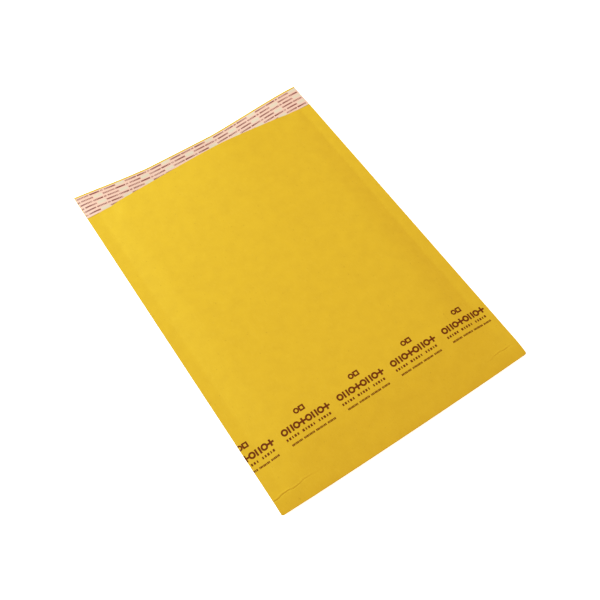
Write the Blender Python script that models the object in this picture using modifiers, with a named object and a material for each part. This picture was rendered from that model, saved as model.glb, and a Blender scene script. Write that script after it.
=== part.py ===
"""A padded mailing envelope of golden kraft paper, lying empty on its back panel.

One web of paper makes the front panel, the bottom fold, the back panel and the open flap, and
its two side seams are pressed together. A web of air-cell film is folded inside it. The flap
carries a band of adhesive under a peel-off strip. Everything is in metres: X runs across the
envelope, Y towards its mouth and flap, and Z up from the table.
"""

import math

import bmesh
import bpy
import numpy as np

MM = 0.001

# Paper shell
WIDTH = 216 * MM  # across both side seams
LENGTH = 312.8 * MM  # from the bottom fold to the flap's free edge
FLAP = 24.9 * MM  # how far the flap runs on past the front panel's edge
FOLD_BOW = 0.8 * MM  # how far the bottom fold's middle stands out past its corners
PAPER = 0.25 * MM  # kraft paper with the film that is laminated to it
SEAL = 10 * MM  # width of each side seam
SEAL_APART = 0.16 * MM  # clear space between the two panels along the seams and the fold
WELD = 0.4 * MM  # thickness of the bond that joins the panels along a seam
WELD_INSET = 0.3 * MM  # how far the bond stays inside the seam's edges

# How the shell lies: the seams float between the padded panels, higher towards the mouth
SEAM_LOW = 3.6 * MM  # height of the seams at the bottom fold
SEAM_HIGH = 8.7 * MM  # height of the seams at the flap's free edge
TOE_BAND = 11 * MM  # flat paper between the bottom fold and the padding
TOE = 40 * MM  # length over which the padding rises from that band
SHOULDER_FRONT = 16 * MM  # width over which the front panel rises from a seam
SHOULDER_BACK = 22 * MM  # width over which the back panel drops from a seam to the table
CROWN_LOW = 4.7 * MM  # front panel above the seams, at the bottom fold
CROWN_HIGH = 1.6 * MM  # the same at the mouth, without the hump

# The open mouth: the front panel's edge is humped and the back panel sags like a trough
HUMP = 6.8 * MM
HUMP_X = 14 * MM
HUMP_LEFT = 104 * MM  # reach of the hump to the left of its top
HUMP_RIGHT = 76 * MM
HUMP_ROUND = 0.12  # rounds the hump's top, as a share of its reach
HUMP_FROM = -60 * MM  # where the hump begins along Y
TROUGH_X = -9 * MM
TROUGH_FLAT = 1.15  # depth of the trough before the table cuts it off flat
TROUGH_POWER_LEFT = 1.3
TROUGH_POWER_RIGHT = 2.0
TROUGH_FROM = 20 * MM

# Lining, adhesive and peel strip
CLEARANCE = 0.3 * MM  # between pieces that touch
LINING = 3.5 * MM  # thickness of the air-cell film where nothing crushes it
LINING_HALF_WIDTH = 90 * MM
LINING_SLIT = 0.3 * MM  # between the two linings where they close on each other
LINING_FROM_FOLD = 19 * MM
LINING_FROM_MOUTH = 5.5 * MM
STRIP_CLEARANCE = 0.2 * MM  # between the thin layers on the flap
ADHESIVE = 0.2 * MM
ADHESIVE_SIZE = (196 * MM, 18 * MM)  # it stops in line with the side seams
ADHESIVE_FROM_MOUTH = 3 * MM
LINER = 0.12 * MM
LINER_SIZE = (215.2 * MM, 23.4 * MM)
LINER_FROM_MOUTH = 0.4 * MM

FOLD_CELLS = 4  # facets round a fold
INNER_X = 40 * MM  # a grid line shared by all the pieces
LEAST_CELL = 0.3 * MM  # narrowest cell of a grid

HALF_WIDTH = WIDTH / 2
FOLD_Y = -LENGTH / 2
FLAP_Y = LENGTH / 2
MOUTH_Y = FLAP_Y - FLAP
SEAL_X = HALF_WIDTH - SEAL
PANEL_APART = (SEAL_APART + PAPER) / 2  # from the seam's middle to the middle of either sheet

KRAFT = (0.79, 0.46, 0.04)
FILM = (0.82, 0.84, 0.86)
GLUE = (0.85, 0.78, 0.6)
LINER_PAPER = (0.87, 0.72, 0.64)


def ramp(value, start, length):
    """Goes from 0 at start to 1 after length, steep at first and rounding off, as padding does."""
    return math.sin(math.pi / 2 * min(max((value - start) / length, 0), 1))


def seam_height(y):
    """Height of the seams' middle above the table."""
    return SEAM_LOW + (SEAM_HIGH - SEAM_LOW) * (y - FOLD_Y) / LENGTH


def toe_rise(y):
    return ramp(y, FOLD_Y + TOE_BAND, TOE)


def hump_share(x):
    """Outline of the front panel's edge across the mouth, 1 at its top."""
    reach = HUMP_LEFT if x < HUMP_X else HUMP_RIGHT
    off = min(abs(x - HUMP_X) / reach, 1)
    tent = 1 + HUMP_ROUND - math.hypot(off, HUMP_ROUND)
    return max(0, 0.5 * tent + 0.5 * (1 - off * off) ** 2)


def free_end(t):
    """Bend of a sheet held at 0 and free at 1."""
    return t * t * (3 - t) / 2


def front_height(x, y):
    """Middle of the front sheet."""
    side = ramp(SEAL_X - abs(x), 0, SHOULDER_FRONT)
    along = (y - FOLD_Y) / (MOUTH_Y - FOLD_Y)
    crown = (CROWN_LOW + (CROWN_HIGH - CROWN_LOW) * along) * toe_rise(y)
    t = min(max((y - HUMP_FROM) / (MOUTH_Y - HUMP_FROM), 0), 1)
    return seam_height(y) + PANEL_APART + side * (crown + HUMP * free_end(t) * hump_share(x))


def trough_share(x, half):
    """Depth of the trough across a strip of this half width, as a share, and 1 where it lies flat."""
    if x < TROUGH_X:
        off, power = (TROUGH_X - x) / (half + TROUGH_X), TROUGH_POWER_LEFT
    else:
        off, power = (x - TROUGH_X) / (half - TROUGH_X), TROUGH_POWER_RIGHT
    return min(1, TROUGH_FLAT * max(0, 1 - off * off) ** power)


def back_height(x, y):
    """Middle of the back sheet and the flap."""
    drop = seam_height(y) - PANEL_APART - PAPER / 2
    body = ramp(SEAL_X - abs(x), 0, SHOULDER_BACK) * toe_rise(y)
    past_mouth = min(max((y - MOUTH_Y) / FLAP, 0), 1)
    t = min(max((y - TROUGH_FROM) / (MOUTH_Y - TROUGH_FROM), 0), 1)
    open_share = t * t * (3 - 2 * t)
    trough = trough_share(x, SEAL_X + past_mouth * SEAL)
    return PAPER / 2 + drop * (1 - (1 - open_share) * body - open_share * trough)


def fold_bow(x, y):
    """Moves a point near the bottom fold so that the fold bows out in its middle."""
    near = (MOUTH_Y - y) / (MOUTH_Y - FOLD_Y)
    return FOLD_BOW * (x / HALF_WIDTH) ** 2 * max(0, near)


def stations(*runs):
    """Grid lines from (end, cells) runs, each run evenly divided; the first run only gives the start."""
    lines = [runs[0]]
    for end, cells in runs[1:]:
        lines.extend(np.linspace(lines[-1], end, cells + 1)[1:])
    return lines


def clipped(lines, low, high):
    """The lines that lie inside low and high, with those two as the ends."""
    return [low, *(line for line in lines if low + LEAST_CELL < line < high - LEAST_CELL), high]


def across(half):
    """Grid lines across a piece of this half width, on lines that all the pieces share."""
    shoulder = SEAL_X - SHOULDER_FRONT
    lines = stations(
        -HALF_WIDTH, (-SEAL_X, 1), (-shoulder, 4), (-INNER_X, 3), (0, 3),
        (INNER_X, 3), (shoulder, 3), (SEAL_X, 4), (HALF_WIDTH, 1),
    )
    return clipped(lines, -half, half)


def along_flap(low, high):
    """Grid lines along the flap, on lines that the shell and the strips share."""
    glue = MOUTH_Y + ADHESIVE_FROM_MOUTH
    return clipped(stations(glue, (glue + ADHESIVE_SIZE[1], 2)), low, high)


def sheet(name, columns, rows, place):
    """An open sheet: a grid with a line at each column and row, each corner moved by place(x, row)."""
    bm = bmesh.new()
    bmesh.ops.create_grid(bm, x_segments=len(columns) - 1, y_segments=len(rows) - 1, size=1)
    for vert in bm.verts:
        column = round((vert.co.x + 1) / 2 * (len(columns) - 1))
        row = round((vert.co.y + 1) / 2 * (len(rows) - 1))
        vert.co = place(columns[column], rows[row])
    mesh = bpy.data.meshes.new(name)
    bm.to_mesh(mesh)
    bm.free()
    return bpy.data.objects.new(name, mesh)


def add_solidify(obj, thickness, offset):
    wall = obj.modifiers.new("wall", "SOLIDIFY")
    wall.thickness = thickness
    wall.offset = offset
    wall.use_even_offset = True
    return wall


def web_rows(ends, fold_angles):
    """Rows of a folded web from the back panel's end, round the fold, to the front panel's end."""
    back = [("back", y) for y in ends[0]]
    fold = [("fold", angle) for angle in fold_angles]
    front = [("front", y) for y in reversed(ends[1])]
    return back + fold + front


def fold_angles():
    """Angles round a fold, between the back panel's last line and the front panel's first."""
    return np.linspace(-math.pi / 2, math.pi / 2, FOLD_CELLS + 1)[1:-1]


def material(name, color, roughness):
    made = bpy.data.materials.new(name)
    made.use_nodes = True
    shader = made.node_tree.nodes["Principled BSDF"]
    shader.inputs["Base Color"].default_value = (*color, 1)
    shader.inputs["Roughness"].default_value = roughness
    shader.inputs["Metallic"].default_value = 0
    return made


def paper_shell():
    """The folded web of paper, with its panels held apart by PANEL_APART where they are pressed."""
    toe = FOLD_Y + TOE_BAND
    turn = FOLD_Y + PANEL_APART + PAPER / 2
    front = stations(MOUTH_Y, (100 * MM, 3), (20 * MM, 4), (toe + TOE, 4), (toe, 5), (turn, 1))
    back = stations(MOUTH_Y, (100 * MM, 2), (20 * MM, 4), (toe + TOE, 3), (toe, 5), (turn, 1))
    back = [*reversed(along_flap(MOUTH_Y, FLAP_Y)), *back[1:]]

    def place(x, row):
        part, value = row
        if part == "fold":
            y = turn - PANEL_APART * math.cos(value)
            z = seam_height(turn) + PANEL_APART * math.sin(value)
        else:
            y = value
            z = back_height(x, y) if part == "back" else front_height(x, y)
        return x, y + fold_bow(x, y), z

    shell = sheet("kraft_envelope", across(HALF_WIDTH), web_rows((back, front), fold_angles()), place)
    add_solidify(shell, PAPER, 0)
    return shell


def seam_bond(side):
    """The bond between the panels along one seam, as a slab that follows the seam's slope."""
    inner, outer = SEAL_X + WELD_INSET, HALF_WIDTH - WELD_INSET
    columns = sorted((side * inner, side * outer))
    rows = [FOLD_Y + 2 * FOLD_BOW, MOUTH_Y - WELD_INSET]

    def place(x, y):
        return x, y, seam_height(y)

    bond = sheet(f"seam_bond_{'left' if side < 0 else 'right'}", columns, rows, place)
    add_solidify(bond, WELD, 0)
    return bond


def join_bonds(shell, bonds):
    for bond in bonds:
        join = shell.modifiers.new("bond", "BOOLEAN")
        join.operation = "UNION"
        join.solver = "EXACT"
        join.object = bond


def lining_faces(x, y):
    """Outer faces of the front and back linings, and their thickness: they share the gap when it is small."""
    top = front_height(x, y) - PAPER / 2 - CLEARANCE
    bottom = back_height(x, y) + PAPER / 2 + CLEARANCE
    half = (top - bottom) / 2
    return top, bottom, min(LINING, half - LINING_SLIT / 2)


def bubble_lining():
    """The folded web of air-cell film, domes inwards, thinner where the panels press on it."""
    end = MOUTH_Y - LINING_FROM_MOUTH
    turn = FOLD_Y + LINING_FROM_FOLD
    top_of_toe = FOLD_Y + TOE_BAND + TOE
    lines = stations(end, (100 * MM, 2), (20 * MM, 4), (top_of_toe, 4), (turn, 6))
    thicknesses = []

    def place(x, row):
        part, value = row
        y = turn if part == "fold" else value
        top, bottom, thickness = lining_faces(x, y)
        thicknesses.append(thickness)
        if part == "fold":
            radius = (top - bottom) / 2
            middle = (top + bottom) / 2
            return x, y - radius * math.cos(value) + fold_bow(x, y), middle + radius * math.sin(value)
        return x, y + fold_bow(x, y), top if part == "front" else bottom

    lining = sheet("bubble_lining", across(LINING_HALF_WIDTH), web_rows((lines, lines), fold_angles()), place)
    weights = lining.vertex_groups.new(name="thickness")
    for index, thickness in enumerate(thicknesses):
        weights.add([index], thickness / LINING, "REPLACE")
    wall = add_solidify(lining, LINING, -1)
    wall.vertex_group = weights.name
    wall.use_even_offset = False
    return lining


def flap_strip(name, size, from_mouth, below, thickness):
    """A thin layer that follows the flap's inner face, standing clear of what is below it."""
    start = MOUTH_Y + from_mouth

    def place(x, y):
        return x, y, back_height(x, y) + below + thickness / 2

    strip = sheet(name, across(size[0] / 2), along_flap(start, start + size[1]), place)
    add_solidify(strip, thickness, 0)
    return strip


def adhesive_strip():
    below = PAPER / 2 + STRIP_CLEARANCE
    return flap_strip("adhesive_strip", ADHESIVE_SIZE, ADHESIVE_FROM_MOUTH, below, ADHESIVE)


def release_liner():
    below = PAPER / 2 + 2 * STRIP_CLEARANCE + ADHESIVE
    return flap_strip("release_liner", LINER_SIZE, LINER_FROM_MOUTH, below, LINER)


def clear_scene():
    for obj in list(bpy.data.objects):
        bpy.data.objects.remove(obj, do_unlink=True)


def collection(name):
    made = bpy.data.collections.new(name)
    bpy.context.scene.collection.children.link(made)
    return made


def main():
    clear_scene()
    parts = collection("padded_envelope")
    helpers = collection("seam_bonds")

    shell = paper_shell()
    bonds = [seam_bond(-1), seam_bond(1)]
    join_bonds(shell, bonds)
    finishes = (
        (shell, material("kraft", KRAFT, 0.75)),
        (bubble_lining(), material("film", FILM, 0.2)),
        (adhesive_strip(), material("adhesive", GLUE, 0.35)),
        (release_liner(), material("liner", LINER_PAPER, 0.5)),
    )
    for obj, finish in finishes:
        obj.data.materials.append(finish)
        parts.objects.link(obj)
    for bond in bonds:
        bond.hide_render = True
        bond.display_type = "WIRE"
        helpers.objects.link(bond)


main()
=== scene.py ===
"""Looks of an empty padded envelope: golden kraft paper, air-cell lining, adhesive and peel strip."""

import logging
import math
from dataclasses import dataclass
from enum import Enum
from functools import reduce

import bpy
import numpy as np
from mathutils import Matrix, Vector


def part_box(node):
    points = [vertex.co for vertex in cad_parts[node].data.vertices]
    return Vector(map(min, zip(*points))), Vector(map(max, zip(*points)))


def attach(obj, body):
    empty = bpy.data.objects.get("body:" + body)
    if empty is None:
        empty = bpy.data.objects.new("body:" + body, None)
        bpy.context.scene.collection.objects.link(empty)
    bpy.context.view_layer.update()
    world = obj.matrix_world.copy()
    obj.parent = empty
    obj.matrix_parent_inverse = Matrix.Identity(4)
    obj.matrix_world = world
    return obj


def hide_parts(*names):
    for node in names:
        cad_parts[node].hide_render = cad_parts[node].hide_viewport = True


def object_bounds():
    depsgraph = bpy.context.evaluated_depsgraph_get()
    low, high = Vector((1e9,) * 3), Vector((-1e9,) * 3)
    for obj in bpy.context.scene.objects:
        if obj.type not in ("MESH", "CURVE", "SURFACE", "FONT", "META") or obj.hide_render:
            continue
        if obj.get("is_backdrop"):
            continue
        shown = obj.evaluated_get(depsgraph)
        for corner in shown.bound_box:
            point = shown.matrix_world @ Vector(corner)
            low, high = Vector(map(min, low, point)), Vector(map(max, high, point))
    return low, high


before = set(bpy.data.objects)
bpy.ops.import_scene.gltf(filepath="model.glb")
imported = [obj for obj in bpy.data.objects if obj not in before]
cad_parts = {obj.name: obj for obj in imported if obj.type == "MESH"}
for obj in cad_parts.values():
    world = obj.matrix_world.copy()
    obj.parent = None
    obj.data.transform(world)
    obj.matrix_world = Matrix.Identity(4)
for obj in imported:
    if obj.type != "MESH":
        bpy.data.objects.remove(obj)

log = logging.getLogger("padded_envelope")

MM = 0.001
BODY = "root"
SEED = 7


# ---------------------------------------------------------------------------------------------
# Small tools
# ---------------------------------------------------------------------------------------------


def linear(hex_colour: str) -> tuple[float, float, float, float]:
    """Turns an sRGB hex colour into the linear colour that a shader takes.

    Args:
        hex_colour: a colour such as "#e3b32f".

    Returns:
        Red, green, blue and an alpha of 1.
    """
    parts = [int(hex_colour[i : i + 2], 16) / 255 for i in (1, 3, 5)]
    red, green, blue = (c / 12.92 if c <= 0.04045 else ((c + 0.055) / 1.055) ** 2.4 for c in parts)
    return red, green, blue, 1.0


def add_node(
    tree: bpy.types.NodeTree, kind: str, links: dict | None = None, **settings: object
) -> bpy.types.Node:
    """Adds a node with its settings and links.

    Args:
        tree: the tree that gets the node.
        kind: the node's type name.
        links: values or sockets for its inputs, by the input's name or number.
        **settings: the node's own properties.

    Returns:
        The new node.
    """
    node = tree.nodes.new(kind)
    for name, value in settings.items():
        setattr(node, name, value)
    for key, value in (links or {}).items():
        if isinstance(key, str):
            socket = next(s for s in node.inputs if s.name == key and s.enabled)
        else:
            socket = node.inputs[key]
        value = value.socket if isinstance(value, Field) else value
        if isinstance(value, bpy.types.NodeSocket):
            tree.links.new(value, socket)
        else:
            socket.default_value = value
    return node


class Field:
    """A number that varies from point to point, with Python's arithmetic on it."""

    def __init__(self, tree: bpy.types.NodeTree, socket: bpy.types.NodeSocket) -> None:
        """Holds a node's output and the tree it is in."""
        self.tree = tree
        self.socket = socket

    def math(self, operation: str, *others: "Field | float") -> "Field":
        """Runs this number and others through one Math node.

        Args:
            operation: the Math node's operation.
            *others: its other inputs.

        Returns:
            The result.
        """
        links = {0: self.socket, **{i + 1: other for i, other in enumerate(others)}}
        node = add_node(self.tree, "ShaderNodeMath", links, operation=operation)
        return Field(self.tree, node.outputs[0])

    def __add__(self, other: "Field | float") -> "Field":
        """Sum."""
        return self.math("ADD", other)

    def __sub__(self, other: "Field | float") -> "Field":
        """Difference."""
        return self.math("SUBTRACT", other)

    def __mul__(self, other: "Field | float") -> "Field":
        """Product; of two masks, where both hold."""
        return self.math("MULTIPLY", other)

    def __truediv__(self, other: "Field | float") -> "Field":
        """Quotient."""
        return self.math("DIVIDE", other)

    def __lt__(self, other: "Field | float") -> "Field":
        """1 where this is less than the other, else 0."""
        return self.math("LESS_THAN", other)

    def __gt__(self, other: "Field | float") -> "Field":
        """1 where this is more than the other, else 0."""
        return self.math("GREATER_THAN", other)

    def __or__(self, other: "Field") -> "Field":
        """Of two masks, where either holds."""
        return self.math("MAXIMUM", other)

    def __abs__(self) -> "Field":
        """Size without its sign."""
        return self.math("ABSOLUTE")

    def between(self, low: float, high: float) -> "Field":
        """This number, kept from low to high."""
        return self.math("MAXIMUM", low).math("MINIMUM", high)

    def repeat(self, pitch: float) -> "Field":
        """Distance from the middle of the nearest of many equal cells, from minus to plus half a pitch."""
        return self.math("ADD", pitch / 2).math("FLOORED_MODULO", pitch) - pitch / 2

    def cell(self, pitch: float) -> "Field":
        """Number of the cell that repeat() measures in."""
        return (self / pitch + 0.5).math("FLOOR")


def add_object(name: str, mesh: bpy.types.Mesh) -> bpy.types.Object:
    """Puts a mesh in the scene as an object at the origin.

    Args:
        name: the piece's name.
        mesh: its mesh, already in place.

    Returns:
        The object.
    """
    piece = bpy.data.objects.new(name, mesh)
    bpy.context.scene.collection.objects.link(piece)
    return piece


def grid_mesh(name: str, points: np.ndarray) -> bpy.types.Mesh:
    """Makes an open sheet from a grid of points.

    Args:
        name: the mesh's name.
        points: rows by columns by 3.

    Returns:
        The mesh, with its normals on the side where rows then columns turn left.
    """
    rows, columns = points.shape[:2]
    index = np.arange(rows * columns).reshape(rows, columns)
    corners = (index[:-1, :-1], index[:-1, 1:], index[1:, 1:], index[1:, :-1])
    faces = np.stack(corners, axis=-1).reshape(-1, 4)
    mesh = bpy.data.meshes.new(name)
    mesh.from_pydata(points.reshape(-1, 3).tolist(), [], faces.tolist())
    return mesh


def settle(piece: bpy.types.Object) -> None:
    """Makes a piece's evaluated shape its own mesh and removes its modifiers.

    Args:
        piece: the piece, with its modifiers set.
    """
    graph = bpy.context.evaluated_depsgraph_get()
    mesh = bpy.data.meshes.new_from_object(piece.evaluated_get(graph))
    piece.modifiers.clear()
    piece.data = mesh


def soften(mesh: bpy.types.Mesh, sharp_degrees: float = 50.0) -> None:
    """Shades a mesh smooth, except along edges sharper than the given angle."""
    mesh.shade_smooth()
    mesh.set_sharp_from_angle(angle=math.radians(sharp_degrees))


def thicken(piece: bpy.types.Object, thickness: float, offset: float) -> None:
    """Gives an open sheet its thickness; its inner side and edges take its second and third materials.

    Args:
        piece: the open sheet.
        thickness: the sheet's thickness.
        offset: -1 to grow inwards, 0 to grow both ways, 1 to grow outwards.
    """
    wall = piece.modifiers.new("wall", "SOLIDIFY")
    wall.thickness = thickness
    wall.offset = offset
    wall.use_even_offset = True
    wall.material_offset = 1
    wall.material_offset_rim = 2
    settle(piece)


def ease(value: np.ndarray, start: float, length: float) -> np.ndarray:
    """Goes from 0 at start to 1 after length, level at both ends."""
    t = np.clip((value - start) / length, 0, 1)
    return t * t * (3 - 2 * t)


def ramp(value: np.ndarray, start: float, length: float) -> np.ndarray:
    """Goes from 0 at start to 1 after length, steep at first and rounding off, as padding does."""
    return np.sin(np.pi / 2 * np.clip((value - start) / length, 0, 1))


def lines_between(start: float, *runs: tuple[float, float]) -> np.ndarray:
    """Grid lines along one direction.

    Args:
        start: the first line.
        *runs: for each stretch, where it ends and the widest cell it may have.

    Returns:
        The lines, both ends included.
    """
    lines = [np.array([start])]
    for end, cell in runs:
        count = max(1, math.ceil(abs(end - lines[-1][-1]) / cell - 1e-6))
        lines.append(np.linspace(lines[-1][-1], end, count + 1)[1:])
    return np.concatenate(lines)


# ---------------------------------------------------------------------------------------------
# The shape that every piece follows
# ---------------------------------------------------------------------------------------------


@dataclass(frozen=True)
class EnvelopeForm:
    """How the folded paper lies: the height of each sheet's middle over the table."""

    fold_y: float
    flap_y: float
    half_width: float = 108 * MM
    flap: float = 24.9 * MM
    fold_bow: float = 0.8 * MM
    paper: float = 0.25 * MM
    seal: float = 10 * MM
    seal_apart: float = 0.16 * MM
    seam_low: float = 3.6 * MM
    seam_high: float = 8.7 * MM
    toe_band: float = 11 * MM
    toe: float = 40 * MM
    toe_soft: float = 0.16
    shoulder_front: float = 19 * MM
    shoulder_toe: float = 0.95
    shoulder_back: float = 22 * MM
    crown_low: float = 4.7 * MM
    crown_high: float = 1.6 * MM
    hump: float = 6.8 * MM
    hump_x: float = 14 * MM
    hump_left: float = 104 * MM
    hump_right: float = 76 * MM
    hump_round: float = 0.12
    hump_from: float = -60 * MM
    trough_x: float = -9 * MM
    trough_flat: float = 1.15
    trough_power_left: float = 1.3
    trough_power_right: float = 2.0
    trough_from: float = 20 * MM

    @property
    def mouth_y(self) -> float:
        """Where the front panel ends."""
        return self.flap_y - self.flap

    @property
    def seal_x(self) -> float:
        """Inner edge of the side seams."""
        return self.half_width - self.seal

    @property
    def panel_apart(self) -> float:
        """From the seam's middle to the middle of either sheet."""
        return (self.seal_apart + self.paper) / 2

    def seam(self, y: np.ndarray) -> np.ndarray:
        """Height of the seams' middle."""
        along = (y - self.fold_y) / (self.flap_y - self.fold_y)
        return self.seam_low + (self.seam_high - self.seam_low) * along

    def toe_rise(self, y: np.ndarray) -> np.ndarray:
        """Share of the padding's full height near the bottom fold, which it leaves without a kink."""
        t = (y - self.fold_y - self.toe_band) / self.toe
        return ramp((t + np.hypot(t, self.toe_soft)) / 2, 0, 1)

    def hump_share(self, x: np.ndarray) -> np.ndarray:
        """Outline of the front panel's edge across the mouth.

        Args:
            x: places across the envelope.

        Returns:
            Shares of the hump's full height.
        """
        reach = np.where(x < self.hump_x, self.hump_left, self.hump_right)
        off = np.minimum(np.abs(x - self.hump_x) / reach, 1)
        tent = 1 + self.hump_round - np.hypot(off, self.hump_round)
        return np.maximum(0, 0.5 * tent + 0.5 * (1 - off * off) ** 2)

    def front(self, x: np.ndarray, y: np.ndarray) -> np.ndarray:
        """Middle of the front sheet.

        Args:
            x: places across the envelope.
            y: places along it.

        Returns:
            Heights.
        """
        along = (y - self.fold_y) / (self.mouth_y - self.fold_y)
        shoulder = self.shoulder_front * (1 + self.shoulder_toe * (1 - along) ** 2)
        side = ramp((self.seal_x - np.abs(x)) / shoulder, 0, 1)
        crown = (self.crown_low + (self.crown_high - self.crown_low) * along) * self.toe_rise(y)
        t = np.clip((y - self.hump_from) / (self.mouth_y - self.hump_from), 0, 1)
        hump = self.hump * t * t * (3 - t) / 2 * self.hump_share(x)
        return self.seam(y) + self.panel_apart + side * (crown + hump)

    def trough_share(self, x: np.ndarray, half: np.ndarray) -> np.ndarray:
        """Depth of the trough at the mouth.

        Args:
            x: places across the envelope.
            half: half of the width that the trough has.

        Returns:
            Shares, 1 where the paper lies flat on the table.
        """
        left = x < self.trough_x
        reach = np.where(left, half + self.trough_x, half - self.trough_x)
        off = np.abs(x - self.trough_x) / reach
        power = np.where(left, self.trough_power_left, self.trough_power_right)
        return np.minimum(1, self.trough_flat * np.maximum(0, 1 - off * off) ** power)

    def back(self, x: np.ndarray, y: np.ndarray) -> np.ndarray:
        """Middle of the back sheet and the flap.

        Args:
            x: places across the envelope.
            y: places along it.

        Returns:
            Heights.
        """
        drop = self.seam(y) - self.panel_apart - self.paper / 2
        body = ramp(self.seal_x - np.abs(x), 0, self.shoulder_back) * self.toe_rise(y)
        past_mouth = np.clip((y - self.mouth_y) / self.flap, 0, 1)
        open_share = ease(y, self.trough_from, self.mouth_y - self.trough_from)
        trough = self.trough_share(x, self.seal_x + past_mouth * self.seal)
        return self.paper / 2 + drop * (1 - (1 - open_share) * body - open_share * trough)

    def bow(self, x: np.ndarray, y: np.ndarray) -> np.ndarray:
        """How far a point moves along Y so that the bottom fold bows out in its middle."""
        near = np.clip((self.mouth_y - y) / (self.mouth_y - self.fold_y), 0, 1)
        return self.fold_bow * (x / self.half_width) ** 2 * near


@dataclass(frozen=True)
class PaperRelief:
    """Small unevenness of the sheets: soft waves over the padding, dents, and creases near the fold."""

    form: EnvelopeForm
    wave: float = 0.10 * MM
    waves: int = 7
    wave_lengths: tuple[float, float] = (38 * MM, 95 * MM)
    crease_above_band: float = 0.6 * MM
    crease_depth: float = 0.45 * MM
    crease_width: float = 0.42 * MM
    crease_sway: tuple[float, float] = (0.5 * MM, 17 * MM)
    crease_shake: tuple[float, float] = (0.2 * MM, 6 * MM)
    crease_left: tuple[float, float, float] = (-101 * MM, -66 * MM, 1.2 * MM)
    crease_right: tuple[float, float, float] = (95 * MM, 76 * MM, -1.0 * MM)
    crease_right_share: float = 0.7
    dents: int = 14
    dent_depth: float = 0.16 * MM
    dent_radius: float = 2.2 * MM
    dip_left: float = -86 * MM
    dip_right: float = 83 * MM
    dip_depths: tuple[float, float] = (1.1 * MM, 0.7 * MM)
    dip_radius: float = 5.5 * MM
    dip_reach: float = 16 * MM
    fold_dip: float = 1.5 * MM
    fold_dip_reach: float = 14 * MM

    def waves_at(self, x: np.ndarray, y: np.ndarray, seed: int) -> np.ndarray:
        """Gentle waves in the sheet, none at the seams and the bottom fold.

        Args:
            x: places across the envelope.
            y: places along it.
            seed: a different one for each sheet.

        Returns:
            Heights to add.
        """
        random = np.random.default_rng(seed)
        total = np.zeros_like(x)
        for _ in range(self.waves):
            turn, phase = random.uniform(0, 2 * np.pi, 2)
            length = random.uniform(*self.wave_lengths)
            total += np.sin((x * np.cos(turn) + y * np.sin(turn)) * 2 * np.pi / length + phase)
        side = ramp(self.form.seal_x - np.abs(x), 0, 2 * self.form.shoulder_front)
        return self.wave * total / math.sqrt(self.waves) * side * self.form.toe_rise(y)

    def crease(self, x: np.ndarray, y: np.ndarray, start: float, end: float, rise: float) -> np.ndarray:
        """A wrinkle that runs in from a side seam just above the flat band at the bottom fold.

        Args:
            x: places across the envelope.
            y: places along it.
            start: where the wrinkle is deepest, across.
            end: where it has faded away.
            rise: how far it climbs along Y from start to end.

        Returns:
            How far it changes the height.
        """
        along = (x - start) / (end - start)
        middle = self.form.fold_y + self.form.toe_band + self.crease_above_band + rise * along
        for size, length in (self.crease_sway, self.crease_shake):
            middle += size * np.sin(x * 2 * np.pi / length)
        fade = np.clip(1 - along, 0, 1) * ramp(along, -0.35, 0.3)
        off = (y - middle) / self.crease_width
        return self.crease_depth * fade * (0.6 * np.exp(-((off - 1.6) ** 2) / 2) - np.exp(-off * off))

    def creases(self, x: np.ndarray, y: np.ndarray) -> np.ndarray:
        """The wrinkles that go through both sheets, one from each side."""
        right = self.crease_right_share * self.crease(x, y, *self.crease_right)
        return self.crease(x, y, *self.crease_left) + right

    def small_dents(self, x: np.ndarray, y: np.ndarray) -> np.ndarray:
        """Small dents where the front panel was pressed.

        Args:
            x: places across the envelope.
            y: places along it.

        Returns:
            Heights to add.
        """
        form = self.form
        random = np.random.default_rng(SEED + 2)
        total = np.zeros_like(x)
        for _ in range(self.dents):
            across = random.uniform(-0.8, 0.8) * form.seal_x
            along = random.uniform(form.fold_y + form.toe + form.toe_band, form.mouth_y - self.dip_reach)
            radius = self.dent_radius * random.uniform(0.7, 1.6)
            off = ((x - across) ** 2 + (y - along) ** 2) / radius**2
            total -= self.dent_depth * np.exp(-off)
        return total

    def mouth_dips(self, x: np.ndarray, y: np.ndarray) -> np.ndarray:
        """Where the front panel's edge sinks a little, next to the side seams.

        Args:
            x: places across the envelope.
            y: places along it.

        Returns:
            Heights to add.
        """
        near = ease(y, self.form.mouth_y - self.dip_reach, self.dip_reach)
        total = np.zeros_like(x)
        for middle, depth in zip((self.dip_left, self.dip_right), self.dip_depths):
            total -= near * depth * np.exp(-(((x - middle) / self.dip_radius) ** 2))
        return total

    def front(self, x: np.ndarray, y: np.ndarray) -> np.ndarray:
        """Unevenness of the front panel."""
        pressed = self.small_dents(x, y) + self.mouth_dips(x, y)
        return self.waves_at(x, y, SEED) + pressed + self.creases(x, y) + self.droop(y)

    def droop(self, y: np.ndarray) -> np.ndarray:
        """How far both sheets hang down towards the table at the bottom fold."""
        near = np.clip((self.form.fold_y + self.fold_dip_reach - y) / self.fold_dip_reach, 0, 1)
        return -self.fold_dip * near * near

    def back(self, x: np.ndarray, y: np.ndarray) -> np.ndarray:
        """Unevenness of the back panel, which the table keeps flat.

        Args:
            x: places across the envelope.
            y: places along it.

        Returns:
            Heights to add.
        """
        lifted = np.clip((self.form.back(x, y) - self.form.paper / 2) / (2 * MM), 0, 1)
        body = np.clip((self.form.mouth_y - y) / (30 * MM), 0, 1)
        return self.waves_at(x, y, SEED + 1) * lifted * body + self.creases(x, y) + self.droop(y)


class Side(Enum):
    """Which face of the pocket a sheet is on; the value is its sign along Z."""

    FRONT = 1
    BACK = -1


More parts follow.
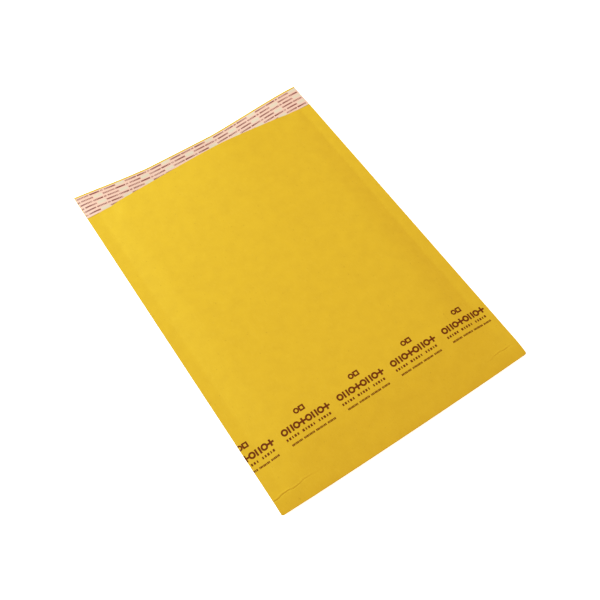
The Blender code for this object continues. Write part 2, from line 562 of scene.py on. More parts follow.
@dataclass
class Web:
    """A web of sheet folded round the bottom, following the paper's middle at some depth inside it."""

    form: EnvelopeForm
    relief: PaperRelief
    fold_cells: int = 6
    cell: float = 2.4 * MM
    shoulder_cell: float = 1.3 * MM
    crease_cell: float = 0.27 * MM
    crease_reach: float = 3.6 * MM
    seam_share: float = 0.42
    corner_radius: float = 1.6 * MM
    corner_cell: float = 0.45 * MM

    def columns(self, cell: float, edge: float) -> np.ndarray:
        """Grid lines across, closer on the shoulders, where every piece has the same ones.

        Args:
            cell: widest cell in the middle.
            edge: how far inside the paper's edge the last line is.

        Returns:
            The lines.
        """
        form = self.form
        shoulder = form.seal_x - form.shoulder_back
        runs = [(shoulder, cell), (form.seal_x, self.shoulder_cell)]
        runs += [(form.half_width - self.corner_radius, 2 * MM), (form.half_width - edge, self.corner_cell)]
        half = lines_between(0, *runs)
        return np.concatenate([-half[:0:-1], half])

    def rows(self, end: float, cell: float) -> np.ndarray:
        """Grid lines from the bottom fold to an end, closer where the paper is creased.

        Args:
            end: the last line.
            cell: widest cell between the padding's toe and the mouth.

        Returns:
            The lines.
        """
        form = self.form
        turn = form.fold_y + form.panel_apart + form.paper / 2
        band = form.fold_y + form.toe_band
        runs = [(form.fold_y + self.corner_radius, self.corner_cell), (band - 2 * MM, 2.2 * MM)]
        runs += [(band + self.crease_reach, self.crease_cell)]
        runs += [(band + form.toe, 1.9 * MM), (min(end, form.mouth_y), cell)]
        runs += [(end, 1.6 * MM)] if end > form.mouth_y else []
        return lines_between(turn, *runs)

    def outline(self, x: np.ndarray, y: np.ndarray) -> tuple[np.ndarray, np.ndarray]:
        """Rounds the two corners at the bottom fold off and bows the fold.

        Args:
            x: places across, on a rectangle.
            y: places along it.

        Returns:
            The places moved.
        """
        middle_x = self.form.half_width - self.corner_radius
        middle_y = self.form.fold_y + self.corner_radius
        across = np.maximum(np.abs(x) - middle_x, 0)
        along = np.maximum(middle_y - y, 0)
        both = np.maximum(np.hypot(across, along), 1e-9)
        share = np.where((across > 0) & (along > 0), np.maximum(across, along) / both, 1)
        new_x = np.where(across > 0, np.sign(x) * (middle_x + across * share), x)
        new_y = np.where(along > 0, middle_y - along * share, y)
        return new_x, new_y + self.form.bow(new_x, new_y)

    def height(self, side: Side, x: np.ndarray, y: np.ndarray) -> np.ndarray:
        """Middle of the paper on one side of the pocket, with its unevenness."""
        if side is Side.FRONT:
            return self.form.front(x, y) + self.relief.front(x, y)
        return self.form.back(x, y) + self.relief.back(x, y)

    def panel(self, side: Side, columns: np.ndarray, rows: np.ndarray, depth: float) -> np.ndarray:
        """Points of one panel.

        Args:
            side: the panel.
            columns: grid lines across.
            rows: grid lines along, in the order wanted.
            depth: how far inside the paper's middle, where there is room for it.

        Returns:
            Rows by columns by 3.
        """
        x, y = np.meshgrid(columns, rows)
        room = self.form.front(x, y) - self.form.back(x, y)
        z = self.height(side, x, y) - side.value * np.minimum(depth, room * self.seam_share)
        return np.stack([*self.outline(x, y), z], axis=-1)

    def folded(self, columns: np.ndarray, back: np.ndarray, front: np.ndarray, depth: float) -> np.ndarray:
        """Points of a whole web, from the back panel's end round the fold to the front panel's end.

        Args:
            columns: grid lines across.
            back: grid lines along the back panel, ending at the fold.
            front: grid lines along the front panel, starting at the fold.
            depth: how far inside the paper's middle.

        Returns:
            Rows by columns by 3.
        """
        low = self.panel(Side.BACK, columns, back, depth)
        high = self.panel(Side.FRONT, columns, front, depth)
        middle = (low[-1] + high[0]) / 2
        radius = (high[0, :, 2] - low[-1, :, 2]) / 2
        angles = np.linspace(-np.pi / 2, np.pi / 2, self.fold_cells + 1)[1:-1, None]
        round_fold = np.stack(
            [
                np.broadcast_to(middle[:, 0], (len(angles), len(columns))),
                middle[:, 1] - radius * np.cos(angles),
                middle[:, 2] + radius * np.sin(angles),
            ],
            axis=-1,
        )
        return np.concatenate([low, round_fold, high])


# ---------------------------------------------------------------------------------------------
# Finishes
# ---------------------------------------------------------------------------------------------


@dataclass(frozen=True)
class Shader:
    """A material being built: its tree, its Principled node and its coordinates."""

    material: bpy.types.Material
    tree: bpy.types.NodeTree
    principled: bpy.types.Node
    place: bpy.types.NodeSocket
    x: Field
    y: Field
    z: Field

    @classmethod
    def start(cls, name: str) -> "Shader":
        """Makes a material with a Principled shader and Object coordinates in metres.

        Args:
            name: the material's name.

        Returns:
            The material, ready to be built on.
        """
        material = bpy.data.materials.new(name)
        material.use_nodes = True
        tree = material.node_tree
        principled = tree.nodes["Principled BSDF"]
        place = add_node(tree, "ShaderNodeTexCoord").outputs["Object"]
        parts = add_node(tree, "ShaderNodeSeparateXYZ", {0: place}).outputs
        return cls(material, tree, principled, place, *(Field(tree, part) for part in parts))

    def set(self, **values: float | tuple) -> None:
        """Sets the Principled shader's own sockets; an underscore in a name stands for a space."""
        for name, value in values.items():
            self.principled.inputs[name.replace("_", " ")].default_value = value

    def link(self, name: str, value: Field | bpy.types.NodeSocket) -> None:
        """Links a value to one of the Principled shader's sockets."""
        self.tree.links.new(value.socket if isinstance(value, Field) else value, self.principled.inputs[name])

    def noise(
        self, size: float, stretch: tuple = (1, 1, 1), detail: float = 2.0, rough: float = 0.5
    ) -> Field:
        """Noise whose features have a real size.

        Args:
            size: the features' size in metres.
            stretch: how many times longer they are along each axis.
            detail: octaves of finer noise.
            rough: strength of the finer octaves.

        Returns:
            A field from 0 to 1, mostly near 0.5.
        """
        scale = tuple(1 / (size * s) for s in stretch)
        mapped = add_node(self.tree, "ShaderNodeMapping", {"Vector": self.place, "Scale": scale})
        links = {"Vector": mapped.outputs[0], "Scale": 1.0, "Detail": detail, "Roughness": rough}
        return Field(self.tree, add_node(self.tree, "ShaderNodeTexNoise", links).outputs[0])

    def mix(self, share: Field | float, a: object, b: object) -> bpy.types.NodeSocket:
        """Mixes two colours.

        Args:
            share: how much of b there is, from 0 to 1.
            a: the colour where share is 0.
            b: the colour where share is 1.

        Returns:
            The colour socket.
        """
        links = {"Factor": share, "A": a, "B": b}
        node = add_node(self.tree, "ShaderNodeMix", links, data_type="RGBA")
        return next(s for s in node.outputs if s.enabled)

    def bump(self, height: Field, distance: float, strength: float = 1.0) -> None:
        """Links a bump to the shader.

        Args:
            height: the relief, from 0 to 1.
            distance: how high 1 stands, in metres.
            strength: how much of it shows.
        """
        links = {"Height": height, "Distance": distance, "Strength": strength}
        self.link("Normal", add_node(self.tree, "ShaderNodeBump", links).outputs[0])


@dataclass(frozen=True)
class KraftPaper:
    """Machine-glazed golden kraft paper: a matt sheet with soft cloudy fibres and a few dark specks."""

    golden: str = "#b8901e"
    cloud: str = "#b38b1d"
    fibre: str = "#be972a"
    speck: str = "#916b17"
    fibre_size: float = 0.7 * MM  # fibres are finer; drawn at this width so that they show
    fibre_share: float = 0.6
    cloud_size: float = 9 * MM
    speck_size: float = 1.3 * MM
    speck_level: float = 0.745
    speck_share: float = 0.35
    relief_height: float = 0.05 * MM
    relief_share: float = 0.55
    cell_pitch: float = 11 * MM
    roughness: float = 0.62

    def colour(self, shader: Shader) -> bpy.types.NodeSocket:
        """Builds the paper's own colour.

        Args:
            shader: the material being built.

        Returns:
            The colour socket.
        """
        clouds = (shader.noise(self.cloud_size, detail=3.0) - 0.35) * 2.2
        fibres = (shader.noise(self.fibre_size, (1, 5, 1), detail=3.0, rough=0.6) - 0.5) * 1.6
        specks = shader.noise(self.speck_size, (1, 1.8, 1), detail=1.0) > self.speck_level
        base = shader.mix(clouds.between(0.0, 1.0), linear(self.golden), linear(self.cloud))
        base = shader.mix(fibres.between(0.0, self.fibre_share), base, linear(self.fibre))
        return shader.mix(specks * self.speck_share, base, linear(self.speck))

    def relief(self, shader: Shader) -> Field:
        """Builds the sheet's fine relief: fibres, and the air cells that press through it faintly.

        Args:
            shader: the material being built.

        Returns:
            Heights from 0 to 1.
        """
        fibres = shader.noise(self.fibre_size * 0.6, (1, 3, 1), detail=4.0, rough=0.6)
        row = self.cell_pitch * math.sqrt(3) / 2
        shift = shader.y.cell(row).math("FLOORED_MODULO", 2.0) * (self.cell_pitch / 2)
        across = (shader.x + shift).repeat(self.cell_pitch)
        along = shader.y.repeat(row)
        off = (across * across + along * along).math("SQRT") / (self.cell_pitch / 2)
        cells = (off * -3.0 + 2.6).between(0.0, 1.0)
        return fibres * 0.5 + cells * 0.5

    def start(self, name: str) -> Shader:
        """Begins a material of this paper, without its colour.

        Args:
            name: the material's name.

        Returns:
            The material being built.
        """
        shader = Shader.start(name)
        shader.set(Roughness=self.roughness, IOR=1.5, Specular_IOR_Level=0.05)
        shader.bump(self.relief(shader), self.relief_height, self.relief_share)
        return shader

    def plain(self, name: str) -> bpy.types.Material:
        """Makes unprinted paper.

        Args:
            name: the material's name.

        Returns:
            The material.
        """
        shader = self.start(name)
        shader.link("Base Color", self.colour(shader))
        return shader.material


@dataclass(frozen=True)
class PrintRow:
    """The row of small marks printed across the front near the bottom: plain rings, bars and ticks."""

    pitch: float = 47.4 * MM
    first_x: float = -105.1 * MM
    mark_y: float = -100.0 * MM
    bold_y: float = -109.0 * MM
    thin_y: float = -114.9 * MM
    fine_y: float = -119.8 * MM
    bold_width: float = 40.7 * MM
    thin_width: float = 40.4 * MM
    fine_width: float = 36.7 * MM
    bold_cells: int = 8
    thin_ticks: tuple = (18, (0.56, 1.9 * MM), 6)
    fine_ticks: tuple = (33, (0.8, 1.5 * MM), 9)
    mark_x: float = -2.1 * MM
    mark_radius: float = 1.6 * MM
    square_x: float = 2.3 * MM
    bar_apart: float = 2.8 * MM
    ring_radius: float = 1.95 * MM
    line: float = 0.60 * MM
    bold_line: float = 0.72 * MM

    def ring(self, a: Field, b: Field, radius: float, line: float) -> Field:
        """A ring round the place where a and b are 0."""
        return abs((a * a + b * b).math("SQRT") - radius) < line

    def ticks(self, u: Field, v: Field, width: float, count: int, size: tuple, words: int) -> Field:
        """A line of short upright ticks, in groups.

        Args:
            u: distance across from the block's middle.
            v: distance along from the line's middle.
            width: the line's width.
            count: ticks in the line.
            size: a tick's width as a share of its cell, and its height.
            words: ticks in a group, counting the space after it.

        Returns:
            A mask.
        """
        pitch = width / count
        cell = (u + width / 2 - pitch / 2).cell(pitch)
        uneven = cell.math("MULTIPLY", 2.399).math("SINE") * 0.28 + 1.0
        tick = abs((u + width / 2 - pitch / 2).repeat(pitch)) < uneven * (pitch * size[0] / 2)
        group = cell.math("FLOORED_MODULO", float(words)) < words - 1.5
        return tick * group * (abs(v) < size[1] / 2) * (abs(u) < width / 2)

    def bold(self, u: Field, v: Field) -> Field:
        """The bold line: ring, two bars, ring, plus sign, and again.

        Args:
            u: distance across from the block's middle.
            v: distance along from the line's middle.

        Returns:
            A mask.
        """
        pitch = self.bold_width / self.bold_cells
        start = u + self.bold_width / 2 - pitch / 2
        cell, a = start.cell(pitch), start.repeat(pitch)
        kind = cell.math("FLOORED_MODULO", 4.0)
        reach = self.ring_radius + self.bold_line
        tall = abs(v) < reach
        bars = (abs(abs(a) - self.bar_apart / 2) < self.bold_line) * tall
        plus = ((abs(a) < self.bold_line) | (abs(v) < self.bold_line)) * tall * (abs(a) < reach)
        rings = self.ring(a, v, self.ring_radius, self.bold_line)
        odd = kind.math("FLOORED_MODULO", 2.0)
        figure = rings * (odd < 0.5) | bars * (abs(kind - 1.0) < 0.5) | plus * (abs(kind - 3.0) < 0.5)
        return figure * (abs(u) < self.bold_width / 2)

    def mask(self, shader: Shader) -> Field:
        """Builds the whole row.

        Args:
            shader: the material being built.

        Returns:
            A mask that is 1 on ink.
        """
        u = (shader.x - self.first_x).repeat(self.pitch)
        v = shader.y - self.mark_y
        mark = self.ring(u - self.mark_x, v, self.mark_radius, self.line)
        square = abs(u - self.square_x).math("MAXIMUM", abs(v))
        square = abs(square - self.mark_radius) < self.line
        bold = self.bold(u, shader.y - self.bold_y)
        thin = self.ticks(u, shader.y - self.thin_y, self.thin_width, *self.thin_ticks)
        fine = self.ticks(u, shader.y - self.fine_y, self.fine_width, *self.fine_ticks)
        return mark | square | bold | thin | fine * 0.95


@dataclass(frozen=True)
class PrintedKraft(KraftPaper):
    """The same paper flexo-printed with a thin dark brown ink, which the fibres break up a little."""

    ink: str = "#520c00"
    ink_break: float = 0.5 * MM
    least_cover: float = 0.94
    row: PrintRow = PrintRow()

    def material(self) -> bpy.types.Material:
        """Makes the outside of the paper.

        Returns:
            The material.
        """
        shader = self.start("kraft_outside")
        printed = add_node(shader.tree, "ShaderNodeAttribute", attribute_name="printed")
        front = Field(shader.tree, printed.outputs["Fac"]) > 0.5
        cover = ((shader.noise(self.ink_break) - 0.3) * 2.4).between(self.least_cover, 1.0)
        ink = self.row.mask(shader) * front * cover
        shader.link("Base Color", shader.mix(ink, self.colour(shader), linear(self.ink)))
        return shader.material


@dataclass(frozen=True)
class CutEdgeWithShade(KraftPaper):
    """The knife-cut edge of the same paper, darker and browner: partly the open fibres' own colour, partly
    painted shade along the edge.
    """

    # Darker colours: partly the cut fibres' own colour, partly painted shade along the edge.
    golden: str = "#6e5416"
    cloud: str = "#644c12"
    fibre: str = "#7c6224"
    speck: str = "#4f3a0c"


@dataclass(frozen=True)
class CellFilm:
    """Blown polyethylene film: clear, glossy and a little milky, so that the paper shows through it."""

    tint: str = "#f2efe9"
    alpha: float = 0.24
    roughness: float = 0.16

    def material(self) -> bpy.types.Material:
        """Makes the lining's film.

        Returns:
            The material.
        """
        shader = Shader.start("cell_film")
        shader.set(Base_Color=linear(self.tint), Alpha=self.alpha, Roughness=self.roughness, IOR=1.5)
        shader.bump(shader.noise(2.5 * MM, detail=2.0), 0.12 * MM, 0.35)
        return shader.material


@dataclass(frozen=True)
class HotMelt:
    """Hot-melt adhesive laid by a slot nozzle: tacky, pale amber and glossy, with fine lengthwise streaks."""

    amber: str = "#e3cfa0"
    roughness: float = 0.22

    def material(self) -> bpy.types.Material:
        """Makes the adhesive.

        Returns:
            The material.
        """
        shader = Shader.start("hot_melt")
        shader.set(Base_Color=linear(self.amber), Roughness=self.roughness, IOR=1.5, Alpha=0.85)
        shader.bump(shader.noise(0.8 * MM, (25, 1, 1), detail=2.0), 0.05 * MM, 0.6)
        return shader.material


@dataclass(frozen=True)
class LinerPrint:
    """Rows of small printed dashes on the peel strip, in groups that are set half a step over in each row."""

    pitch_y: float = 3.65 * MM
    first_y: float = 152.9 * MM
    period: float = 43 * MM
    start_x: float = -107 * MM
    letter: float = 1.32 * MM
    height: float = 1.5 * MM
    words: tuple = ((0, 10.4, 0.9), (11.2, 20, 1.0), (20.8, 23, 0.8), (24, 34.2, 0.95))
    blank: tuple = (35, 42.2)

    def mask(self, shader: Shader) -> tuple[Field, Field]:
        """Builds the print.

        Args:
            shader: the material being built.

        Returns:
            The ink's strength, and the blank blocks between groups.
        """
        row_place = (shader.y - self.first_y) / self.pitch_y
        row = (row_place + 0.5).math("FLOOR")
        v = shader.y - self.first_y - row * self.pitch_y
        shift = row.math("FLOORED_MODULO", 2.0) * (self.period / 2)
        along = (shader.x - self.start_x + shift).math("FLOORED_MODULO", self.period)
        tall = abs(v) < self.height / 2
        words = [
            (along > start * MM) * (along < end * MM) * strength for start, end, strength in self.words
        ]
        ink = reduce(Field.__or__, words)
        blank = (along > self.blank[0] * MM) * (along < self.blank[1] * MM) * (abs(v) < self.pitch_y * 0.42)
        cell = (shader.x / self.letter).math("FLOOR") + row * 17.0
        uneven = cell.math("MULTIPLY", 12.9898).math("SINE") * 0.16 + 0.36
        stroke = abs(shader.x.repeat(self.letter)) < uneven * self.letter
        bar = abs(abs(v) - self.height * 0.3) < self.height * 0.14
        return ink * tall * (stroke | bar * 0.8), blank


@dataclass(frozen=True)
class ReleasePaper:
    """Silicone-coated release paper: smooth pale pink glassine with a low sheen and red-brown flexo print."""

    pink: str = "#c39988"
    blank: str = "#b2a690"
    ink: str = "#5c0e04"
    roughness: float = 0.38
    ink_cover: float = 0.9
    print: LinerPrint = LinerPrint()

    def material(self) -> bpy.types.Material:
        """Makes the peel strip.

        Returns:
            The material.
        """
        shader = Shader.start("release_paper")
        shader.set(Roughness=self.roughness, IOR=1.45, Specular_IOR_Level=0.3)
        ink, blank = self.print.mask(shader)
        base = shader.mix(blank * 0.7, linear(self.pink), linear(self.blank))
        shader.link("Base Color", shader.mix(ink * self.ink_cover, base, linear(self.ink)))
        shader.bump(shader.noise(1.1 * MM, detail=3.0), 0.03 * MM, 0.4)
        return shader.material


# ---------------------------------------------------------------------------------------------
# Pieces
# ---------------------------------------------------------------------------------------------


@dataclass
class PaperShell:
    """The folded paper: front panel, bottom fold, back panel and flap."""

    web: Web

    def build(self) -> bpy.types.Object:
        """Makes the piece, rides it and puts it in place of its CAD node.

        Returns:
            The finished piece.
        """
        form = self.web.form
        front = self.web.rows(form.mouth_y, self.web.cell)
        back = self.web.rows(form.flap_y, self.web.cell)[::-1]
        points = self.web.folded(self.web.columns(self.web.cell, 0), back, front, 0.0)
        mesh = grid_mesh("kraft_paper", points)
        printed = mesh.attributes.new("printed", "FLOAT", "POINT")
        row_of = np.repeat(np.arange(points.shape[0]), points.shape[1])
        printed.data.foreach_set("value", (row_of > len(back) + 1).astype(np.float32))
        mesh.materials.append(PrintedKraft().material())
        mesh.materials.append(KraftPaper().plain("kraft_inside"))
        # The rim faces take the darker edge colour: partly the paper's own cut edge, partly painted shade.
        mesh.materials.append(CutEdgeWithShade().plain("kraft_edge_and_painted_shade"))
        piece = add_object("kraft_paper", mesh)
        thicken(piece, form.paper, 0.0)
        soften(piece.data)
        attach(piece, BODY)
        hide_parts("kraft_envelope")
        return piece


class CellTree:
    """The Geometry Nodes tree that sets air cells on a film in a staggered pattern."""

    INPUTS = (
        ("Pitch", 11 * MM),
        ("Radius", 4.9 * MM),
        ("Height", 3.1 * MM),
        ("Least Height", 0.7 * MM),
        ("Width", 0.2),
        ("Length", 0.3),
        ("Side", 1.0),
        ("Seed", float(SEED)),
    )

    def __init__(self, film: bpy.types.Material) -> None:
        """Builds the tree.

        Args:
            film: the cells' material.
        """
        self.tree = bpy.data.node_groups.new("air_cells", "GeometryNodeTree")
        faces = self.tree.interface
        faces.new_socket("Geometry", in_out="INPUT", socket_type="NodeSocketGeometry")
        faces.new_socket("Geometry", in_out="OUTPUT", socket_type="NodeSocketGeometry")
        for name, value in self.INPUTS:
            faces.new_socket(name, in_out="INPUT", socket_type="NodeSocketFloat").default_value = value
        self.given = self.add("NodeGroupInput").outputs
        self.finish(self.cells(self.placed()), film)

    def add(self, kind: str, links: dict | None = None, **settings: object) -> bpy.types.Node:
        """Adds a node to this tree."""
        return add_node(self.tree, kind, links, **settings)

    def value(self, name: str) -> Field:
        """One of the tree's inputs."""
        return Field(self.tree, self.given[name])

    def vector(self, x: Field | float, y: Field | float, z: Field | float) -> bpy.types.NodeSocket:
        """A vector from three numbers."""
        return self.add("ShaderNodeCombineXYZ", {0: x, 1: y, 2: z}).outputs[0]

    def ray(self, place: bpy.types.NodeSocket) -> bpy.types.Node:
        """Drops places on the film along Z.

        Args:
            place: positions, of which only X and Y count.

        Returns:
            The Raycast node, which also reads the room for a cell there.
        """
        x, y, _ = (Field(self.tree, s) for s in self.add("ShaderNodeSeparateXYZ", {0: place}).outputs)
        side = self.value("Side")
        room = self.add("GeometryNodeInputNamedAttribute", {"Name": "room"}, data_type="FLOAT").outputs[0]
        links = {
            "Target Geometry": self.given["Geometry"],
            "Attribute": room,
            "Source Position": self.vector(x, y, side * 0.1),
            "Ray Direction": self.vector(0.0, 0.0, side * -1.0),
            "Ray Length": 1.0,
        }
        return self.add("GeometryNodeRaycast", links, data_type="FLOAT")

    def placed(self) -> bpy.types.NodeSocket:
        """Lays out a flat field of points, every other row moved over by half a pitch.

        Returns:
            The points that have film with enough room, each with the height that its cell may have.
        """
        pitch = self.value("Pitch")
        row = pitch * (math.sqrt(3) / 2)
        across = (self.value("Width") / pitch).math("FLOOR")
        along = (self.value("Length") / row).math("FLOOR") + 1.0
        links = {
            "Size X": (across - 1.0) * pitch, "Size Y": (along - 1.0) * row,
            "Vertices X": across, "Vertices Y": along,
        }
        grid = self.add("GeometryNodeMeshGrid", links).outputs["Mesh"]
        index = Field(self.tree, self.add("GeometryNodeInputIndex").outputs[0])
        odd = index.math("FLOORED_MODULO", along).math("FLOORED_MODULO", 2.0)
        offset = self.vector((odd - 0.5) * pitch * 0.5, 0.0, 0.0)
        points = self.add("GeometryNodeSetPosition", {"Geometry": grid, "Offset": offset}).outputs[0]
        ray = self.ray(self.add("GeometryNodeInputPosition").outputs[0])
        room = Field(self.tree, next(s for s in ray.outputs if s.name == "Attribute" and s.enabled))
        tall = room.math("MINIMUM", self.value("Height")) * Field(self.tree, ray.outputs["Is Hit"])
        links = {"Geometry": points, "Name": "tall", "Value": tall}
        stored = self.add("GeometryNodeStoreNamedAttribute", links, data_type="FLOAT", domain="POINT")
        points = stored.outputs[0]
        low = self.add("GeometryNodeInputNamedAttribute", {"Name": "tall"}, data_type="FLOAT").outputs[0]
        low = Field(self.tree, low) < self.value("Least Height")
        kept = self.add("GeometryNodeDeleteGeometry", {"Geometry": points, "Selection": low}, domain="POINT")
        return kept.outputs[0]

    def dome(self) -> bpy.types.NodeSocket:
        """One air cell of height 1: a short drum whose wall rounds over to a nearly flat top.

        Returns:
            Its geometry.
        """
        links = {"Vertices": 14, "Side Segments": 4, "Radius": 1.0, "Depth": 1.0}
        drum = self.add("GeometryNodeMeshCylinder", links, fill_type="TRIANGLE_FAN").outputs["Mesh"]
        place = self.add("GeometryNodeInputPosition").outputs[0]
        x, y, z = (Field(self.tree, s) for s in self.add("ShaderNodeSeparateXYZ", {0: place}).outputs)
        up = z + 0.5
        narrow = (up.math("POWER", 3.0) * -0.62 + 1.0) * self.value("Radius")
        position = self.vector(x * narrow, y * narrow, up.math("POWER", 0.72))
        return self.add("GeometryNodeSetPosition", {"Geometry": drum, "Position": position}).outputs[0]

    def cells(self, points: bpy.types.NodeSocket) -> bpy.types.NodeSocket:
        """Stands a dome on each point, as tall as there is room for, and drapes them all over the film.

        Args:
            points: the points from placed().

        Returns:
            Real cells, with their normals out.
        """
        tall = self.add("GeometryNodeInputNamedAttribute", {"Name": "tall"}, data_type="FLOAT").outputs[0]
        uneven = self.add("FunctionNodeRandomValue", {"Min": 0.84, "Max": 1.0, "Seed": self.value("Seed")})
        height = Field(self.tree, tall) * Field(self.tree, next(s for s in uneven.outputs if s.enabled))
        links = {"Points": points, "Instance": self.dome(), "Scale": self.vector(1.0, 1.0, height)}
        stood = self.add("GeometryNodeInstanceOnPoints", links).outputs[0]
        real = self.add("GeometryNodeRealizeInstances", {"Geometry": stood}).outputs[0]
        place = self.add("GeometryNodeInputPosition").outputs[0]
        side = self.value("Side")
        up = Field(self.tree, self.add("ShaderNodeSeparateXYZ", {0: place}).outputs[2])
        links = {
            "Geometry": real, "Position": self.ray(place).outputs["Hit Position"],
            "Offset": self.vector(0.0, 0.0, up * side),
        }
        draped = self.add("GeometryNodeSetPosition", links).outputs[0]
        return self.add("GeometryNodeFlipFaces", {"Mesh": draped, "Selection": side < 0.0}).outputs[0]

    def finish(self, cells: bpy.types.NodeSocket, film: bpy.types.Material) -> None:
        """Smooths the cells, makes sure that all is real, and gives it its material.

        Args:
            cells: the draped cells.
            film: their material.
        """
        smooth = self.add("GeometryNodeSetShadeSmooth", {"Geometry": cells}).outputs[0]
        smooth = self.add("GeometryNodeRealizeInstances", {"Geometry": smooth}).outputs[0]
        dressed = self.add("GeometryNodeSetMaterial", {"Geometry": smooth, "Material": film}).outputs[0]
        self.add("NodeGroupOutput", {"Geometry": dressed})

    def run(self, sheet: bpy.types.Object, **values: float) -> None:
        """Replaces a sheet by the cells that stand on it.

        Args:
            sheet: an open sheet with a room attribute.
            **values: inputs by name, with an underscore for a space.
        """
        modifier = sheet.modifiers.new("cells", "NODES")
        modifier.node_group = self.tree
        sockets = {s.name: s.identifier for s in self.tree.interface.items_tree if s.in_out == "INPUT"}
        for name, value in values.items():
            modifier[sockets[name.replace("_", " ")]] = value
        settle(sheet)


@dataclass
class BubbleLining:
    """Air-cell film folded inside the paper: a flat film on the paper, and domes that face inwards."""

    web: Web
    film: float = 0.05 * MM
    film_depth: float = 0.24 * MM
    mouth_gap: float = 5.2 * MM
    cell_half_width: float = 91 * MM
    cell_from_fold: float = 20 * MM
    cell_from_mouth: float = 11 * MM
    cell_margin: float = 5.5 * MM
    slit: float = 0.3 * MM

    def lines(self) -> tuple[np.ndarray, np.ndarray]:
        """The film's grid lines across and along."""
        end = self.web.form.mouth_y - self.mouth_gap
        return self.web.columns(2 * self.web.cell, 0.3 * MM), self.web.rows(end, 2 * self.web.cell)[2:]

    def base(self, film: bpy.types.Material) -> bpy.types.Object:
        """Makes the flat film, from the mouth round the fold and back, and between the papers of the seams.

        Args:
            film: its material.

        Returns:
            The film.
        """
        columns, rows = self.lines()
        mesh = grid_mesh("lining_film", self.web.folded(columns, rows[::-1], rows, self.film_depth))
        mesh.materials.append(film)
        piece = add_object("bubble_film", mesh)
        thicken(piece, self.film, 0.0)
        soften(piece.data)
        return piece

    def cells(self, side: Side, tree: CellTree) -> bpy.types.Object:
        """Makes the air cells of one panel.

        Args:
            side: the panel.
            tree: the tree that makes them.

        Returns:
            The cells.
        """
        form = self.web.form
        start, end = form.fold_y + self.cell_from_fold, form.mouth_y - self.cell_from_mouth
        middle = (start + end) / 2
        columns, rows = self.lines()
        columns = columns[np.abs(columns) < form.seal_x + 1e-6]
        rows = rows[rows > start - self.cell_margin - 2 * MM]
        if side is Side.BACK:
            rows = rows[::-1]
        x, y = np.meshgrid(columns, rows)
        points = self.web.panel(side, columns, rows, self.film_depth)
        points[..., 1] -= middle
        mesh = grid_mesh(f"cells_{side.name.lower()}", points)
        apart = self.web.height(Side.FRONT, x, y) - self.web.height(Side.BACK, x, y)
        room = apart / 2 - self.film_depth - self.slit / 2
        rooms = mesh.attributes.new("room", "FLOAT", "POINT")
        rooms.data.foreach_set("value", room.ravel().astype(np.float32))
        sheet = add_object(mesh.name, mesh)
        size = {"Width": 2 * self.cell_half_width, "Length": end - start}
        tree.run(sheet, Side=-float(side.value), Seed=SEED + side.value, **size)
        sheet.data.transform(Matrix.Translation((0, middle, 0)))
        return sheet

    def build(self) -> bpy.types.Object:
        """Makes the piece, rides it and puts it in place of its CAD node.

        Returns:
            The finished piece.
        """
        film = CellFilm().material()
        piece = self.base(film)
        tree = CellTree(film)
        cells = [self.cells(side, tree) for side in Side]
        with bpy.context.temp_override(active_object=piece, selected_editable_objects=[piece, *cells]):
            bpy.ops.object.join()
        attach(piece, BODY)
        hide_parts("bubble_lining")
        return piece


@dataclass
class FlapStrip:
    """A thin layer that follows the flap's inner face."""

    web: Web
    name: str
    node: str
    slot: str
    material: bpy.types.Material
    above_paper: float
    thickness: float
    short_of_edge: float = 0.0
    cell: float = 2 * MM

    def build(self) -> bpy.types.Object:
        """Makes the piece where its CAD node is, rides it and puts it in that node's place.

        Returns:
            The finished piece.
        """
        low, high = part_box(self.node)
        columns = lines_between(low.x, (high.x, self.cell))
        rows = lines_between(low.y, (high.y - self.short_of_edge, self.cell))
        x, y = np.meshgrid(columns, rows)
        z = self.web.height(Side.BACK, x, y) + self.web.form.paper / 2 + self.above_paper
        mesh = grid_mesh(self.name, np.stack([x, y, z], axis=-1))
        mesh.materials.append(self.material)
        piece = add_object(self.name, mesh)
        thicken(piece, self.thickness, 1.0)
        soften(piece.data)
        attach(piece, BODY)
        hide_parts(self.node)
        return piece


# ---------------------------------------------------------------------------------------------
# Studio
# ---------------------------------------------------------------------------------------------


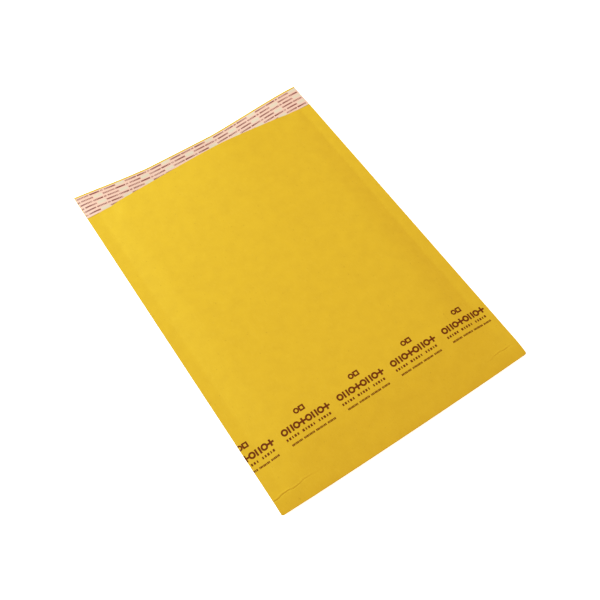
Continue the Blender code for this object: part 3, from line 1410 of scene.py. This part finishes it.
@dataclass(frozen=True)
class Studio:
    """A white floor, a soft white room, one soft key light and the camera."""

    aim: tuple = (-5.01 * MM, -22.74 * MM, 0.0)
    elevation: float = 60.84
    azimuth: float = -32.44
    roll: float = -1.47
    distance: float = 648.7 * MM
    lens: float = 50.45
    key_place: tuple = (-0.45, 0.62, 0.62)
    key_size: float = 0.9
    key_power: float = 15.7
    key_colour: tuple = (0.64, 1.04, 1.08)
    room_colour: tuple = (1.15, 0.96, 0.87, 1.0)
    room_light: float = 1.0
    floor_size: float = 6.0
    floor_colour: str = "#f7f7f7"
    floor_glow: float = 0.55

    def camera(self) -> None:
        """Places the camera by its angles round the point it looks at."""
        turn, tip = math.radians(self.azimuth), math.radians(self.elevation)
        back = Vector((math.sin(turn) * math.cos(tip), -math.cos(turn) * math.cos(tip), math.sin(tip)))
        data = bpy.data.cameras.new("camera")
        data.lens = self.lens
        data.clip_start = 0.01
        camera = bpy.data.objects.new("camera", data)
        level = back.to_track_quat("Z", "Y").to_matrix().to_4x4()
        roll = Matrix.Rotation(math.radians(self.roll), 4, "Z")
        camera.matrix_world = Matrix.Translation(Vector(self.aim) + back * self.distance) @ level @ roll
        bpy.context.scene.collection.objects.link(camera)
        bpy.context.scene.camera = camera

    def lights(self) -> None:
        """Lights the room evenly, with a soft key from the upper left."""
        world = bpy.data.worlds.new("room")
        bpy.context.scene.world = world
        world.use_nodes = True
        sky = world.node_tree.nodes["Background"]
        sky.inputs["Color"].default_value = self.room_colour
        sky.inputs["Strength"].default_value = self.room_light
        data = bpy.data.lights.new("key", "AREA")
        data.size = self.key_size
        data.energy = self.key_power
        data.color = self.key_colour
        key = bpy.data.objects.new("key", data)
        key.location = self.key_place
        key.rotation_euler = Vector(self.key_place).to_track_quat("Z", "Y").to_euler()
        bpy.context.scene.collection.objects.link(key)

    def floor(self) -> None:
        """Lays a plain white floor at the height that the envelope rests on."""
        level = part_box("kraft_envelope")[0].z
        half = self.floor_size / 2
        x, y = np.meshgrid((-half, half), (-half, half))
        mesh = grid_mesh("floor", np.stack([x, y, np.full_like(x, level)], axis=-1))
        shader = Shader.start("studio_floor")
        shader.set(Base_Color=linear(self.floor_colour), Roughness=0.9, Specular_IOR_Level=0.1)
        shader.set(Emission_Color=(1, 1, 1, 1), Emission_Strength=self.floor_glow)
        mesh.materials.append(shader.material)
        add_object("floor", mesh)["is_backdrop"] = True

    def build(self) -> None:
        """Sets the whole studio up."""
        bpy.context.scene.view_settings.view_transform = "Standard"
        self.camera()
        self.lights()
        self.floor()


def adhesive_band(web: Web) -> FlapStrip:
    """The adhesive, on the flap's paper.

    Args:
        web: the paper that it lies on.

    Returns:
        The piece.
    """
    finish = HotMelt().material()
    return FlapStrip(web, "adhesive_band", "adhesive_strip", "adhesive", finish, 0.03 * MM, 0.12 * MM)


def peel_strip(web: Web) -> FlapStrip:
    """The release paper over the adhesive, which leaves a little of the flap's edge bare.

    Args:
        web: the paper that it lies on.

    Returns:
        The piece.
    """
    finish = ReleasePaper().material()
    sizes = {"above_paper": 0.2 * MM, "thickness": 0.09 * MM, "short_of_edge": 0.7 * MM}
    return FlapStrip(web, "peel_strip", "release_liner", "liner", finish, **sizes)


def plain_box() -> list[list[float]]:
    """The object's box now, as plain lists of numbers."""
    return [[float(v) for v in corner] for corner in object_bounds()]


def main(cad_box: list[list[float]]) -> None:
    """Builds every piece in order.

    Args:
        cad_box: the object's box straight after loading; not used.
    """
    logging.basicConfig(level=logging.INFO)
    low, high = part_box("kraft_envelope")
    form = EnvelopeForm(fold_y=round(low.y, 5), flap_y=round(high.y, 5))
    web = Web(form, PaperRelief(form))
    Studio().build()
    builders = (
        PaperShell(web),
        BubbleLining(web),
        adhesive_band(web),
        peel_strip(web),
    )
    for builder in builders:
        piece = builder.build()
        log.info("%s: %d faces", piece.name, len(piece.data.polygons))


if __name__ == "__main__":
    main(plain_box())
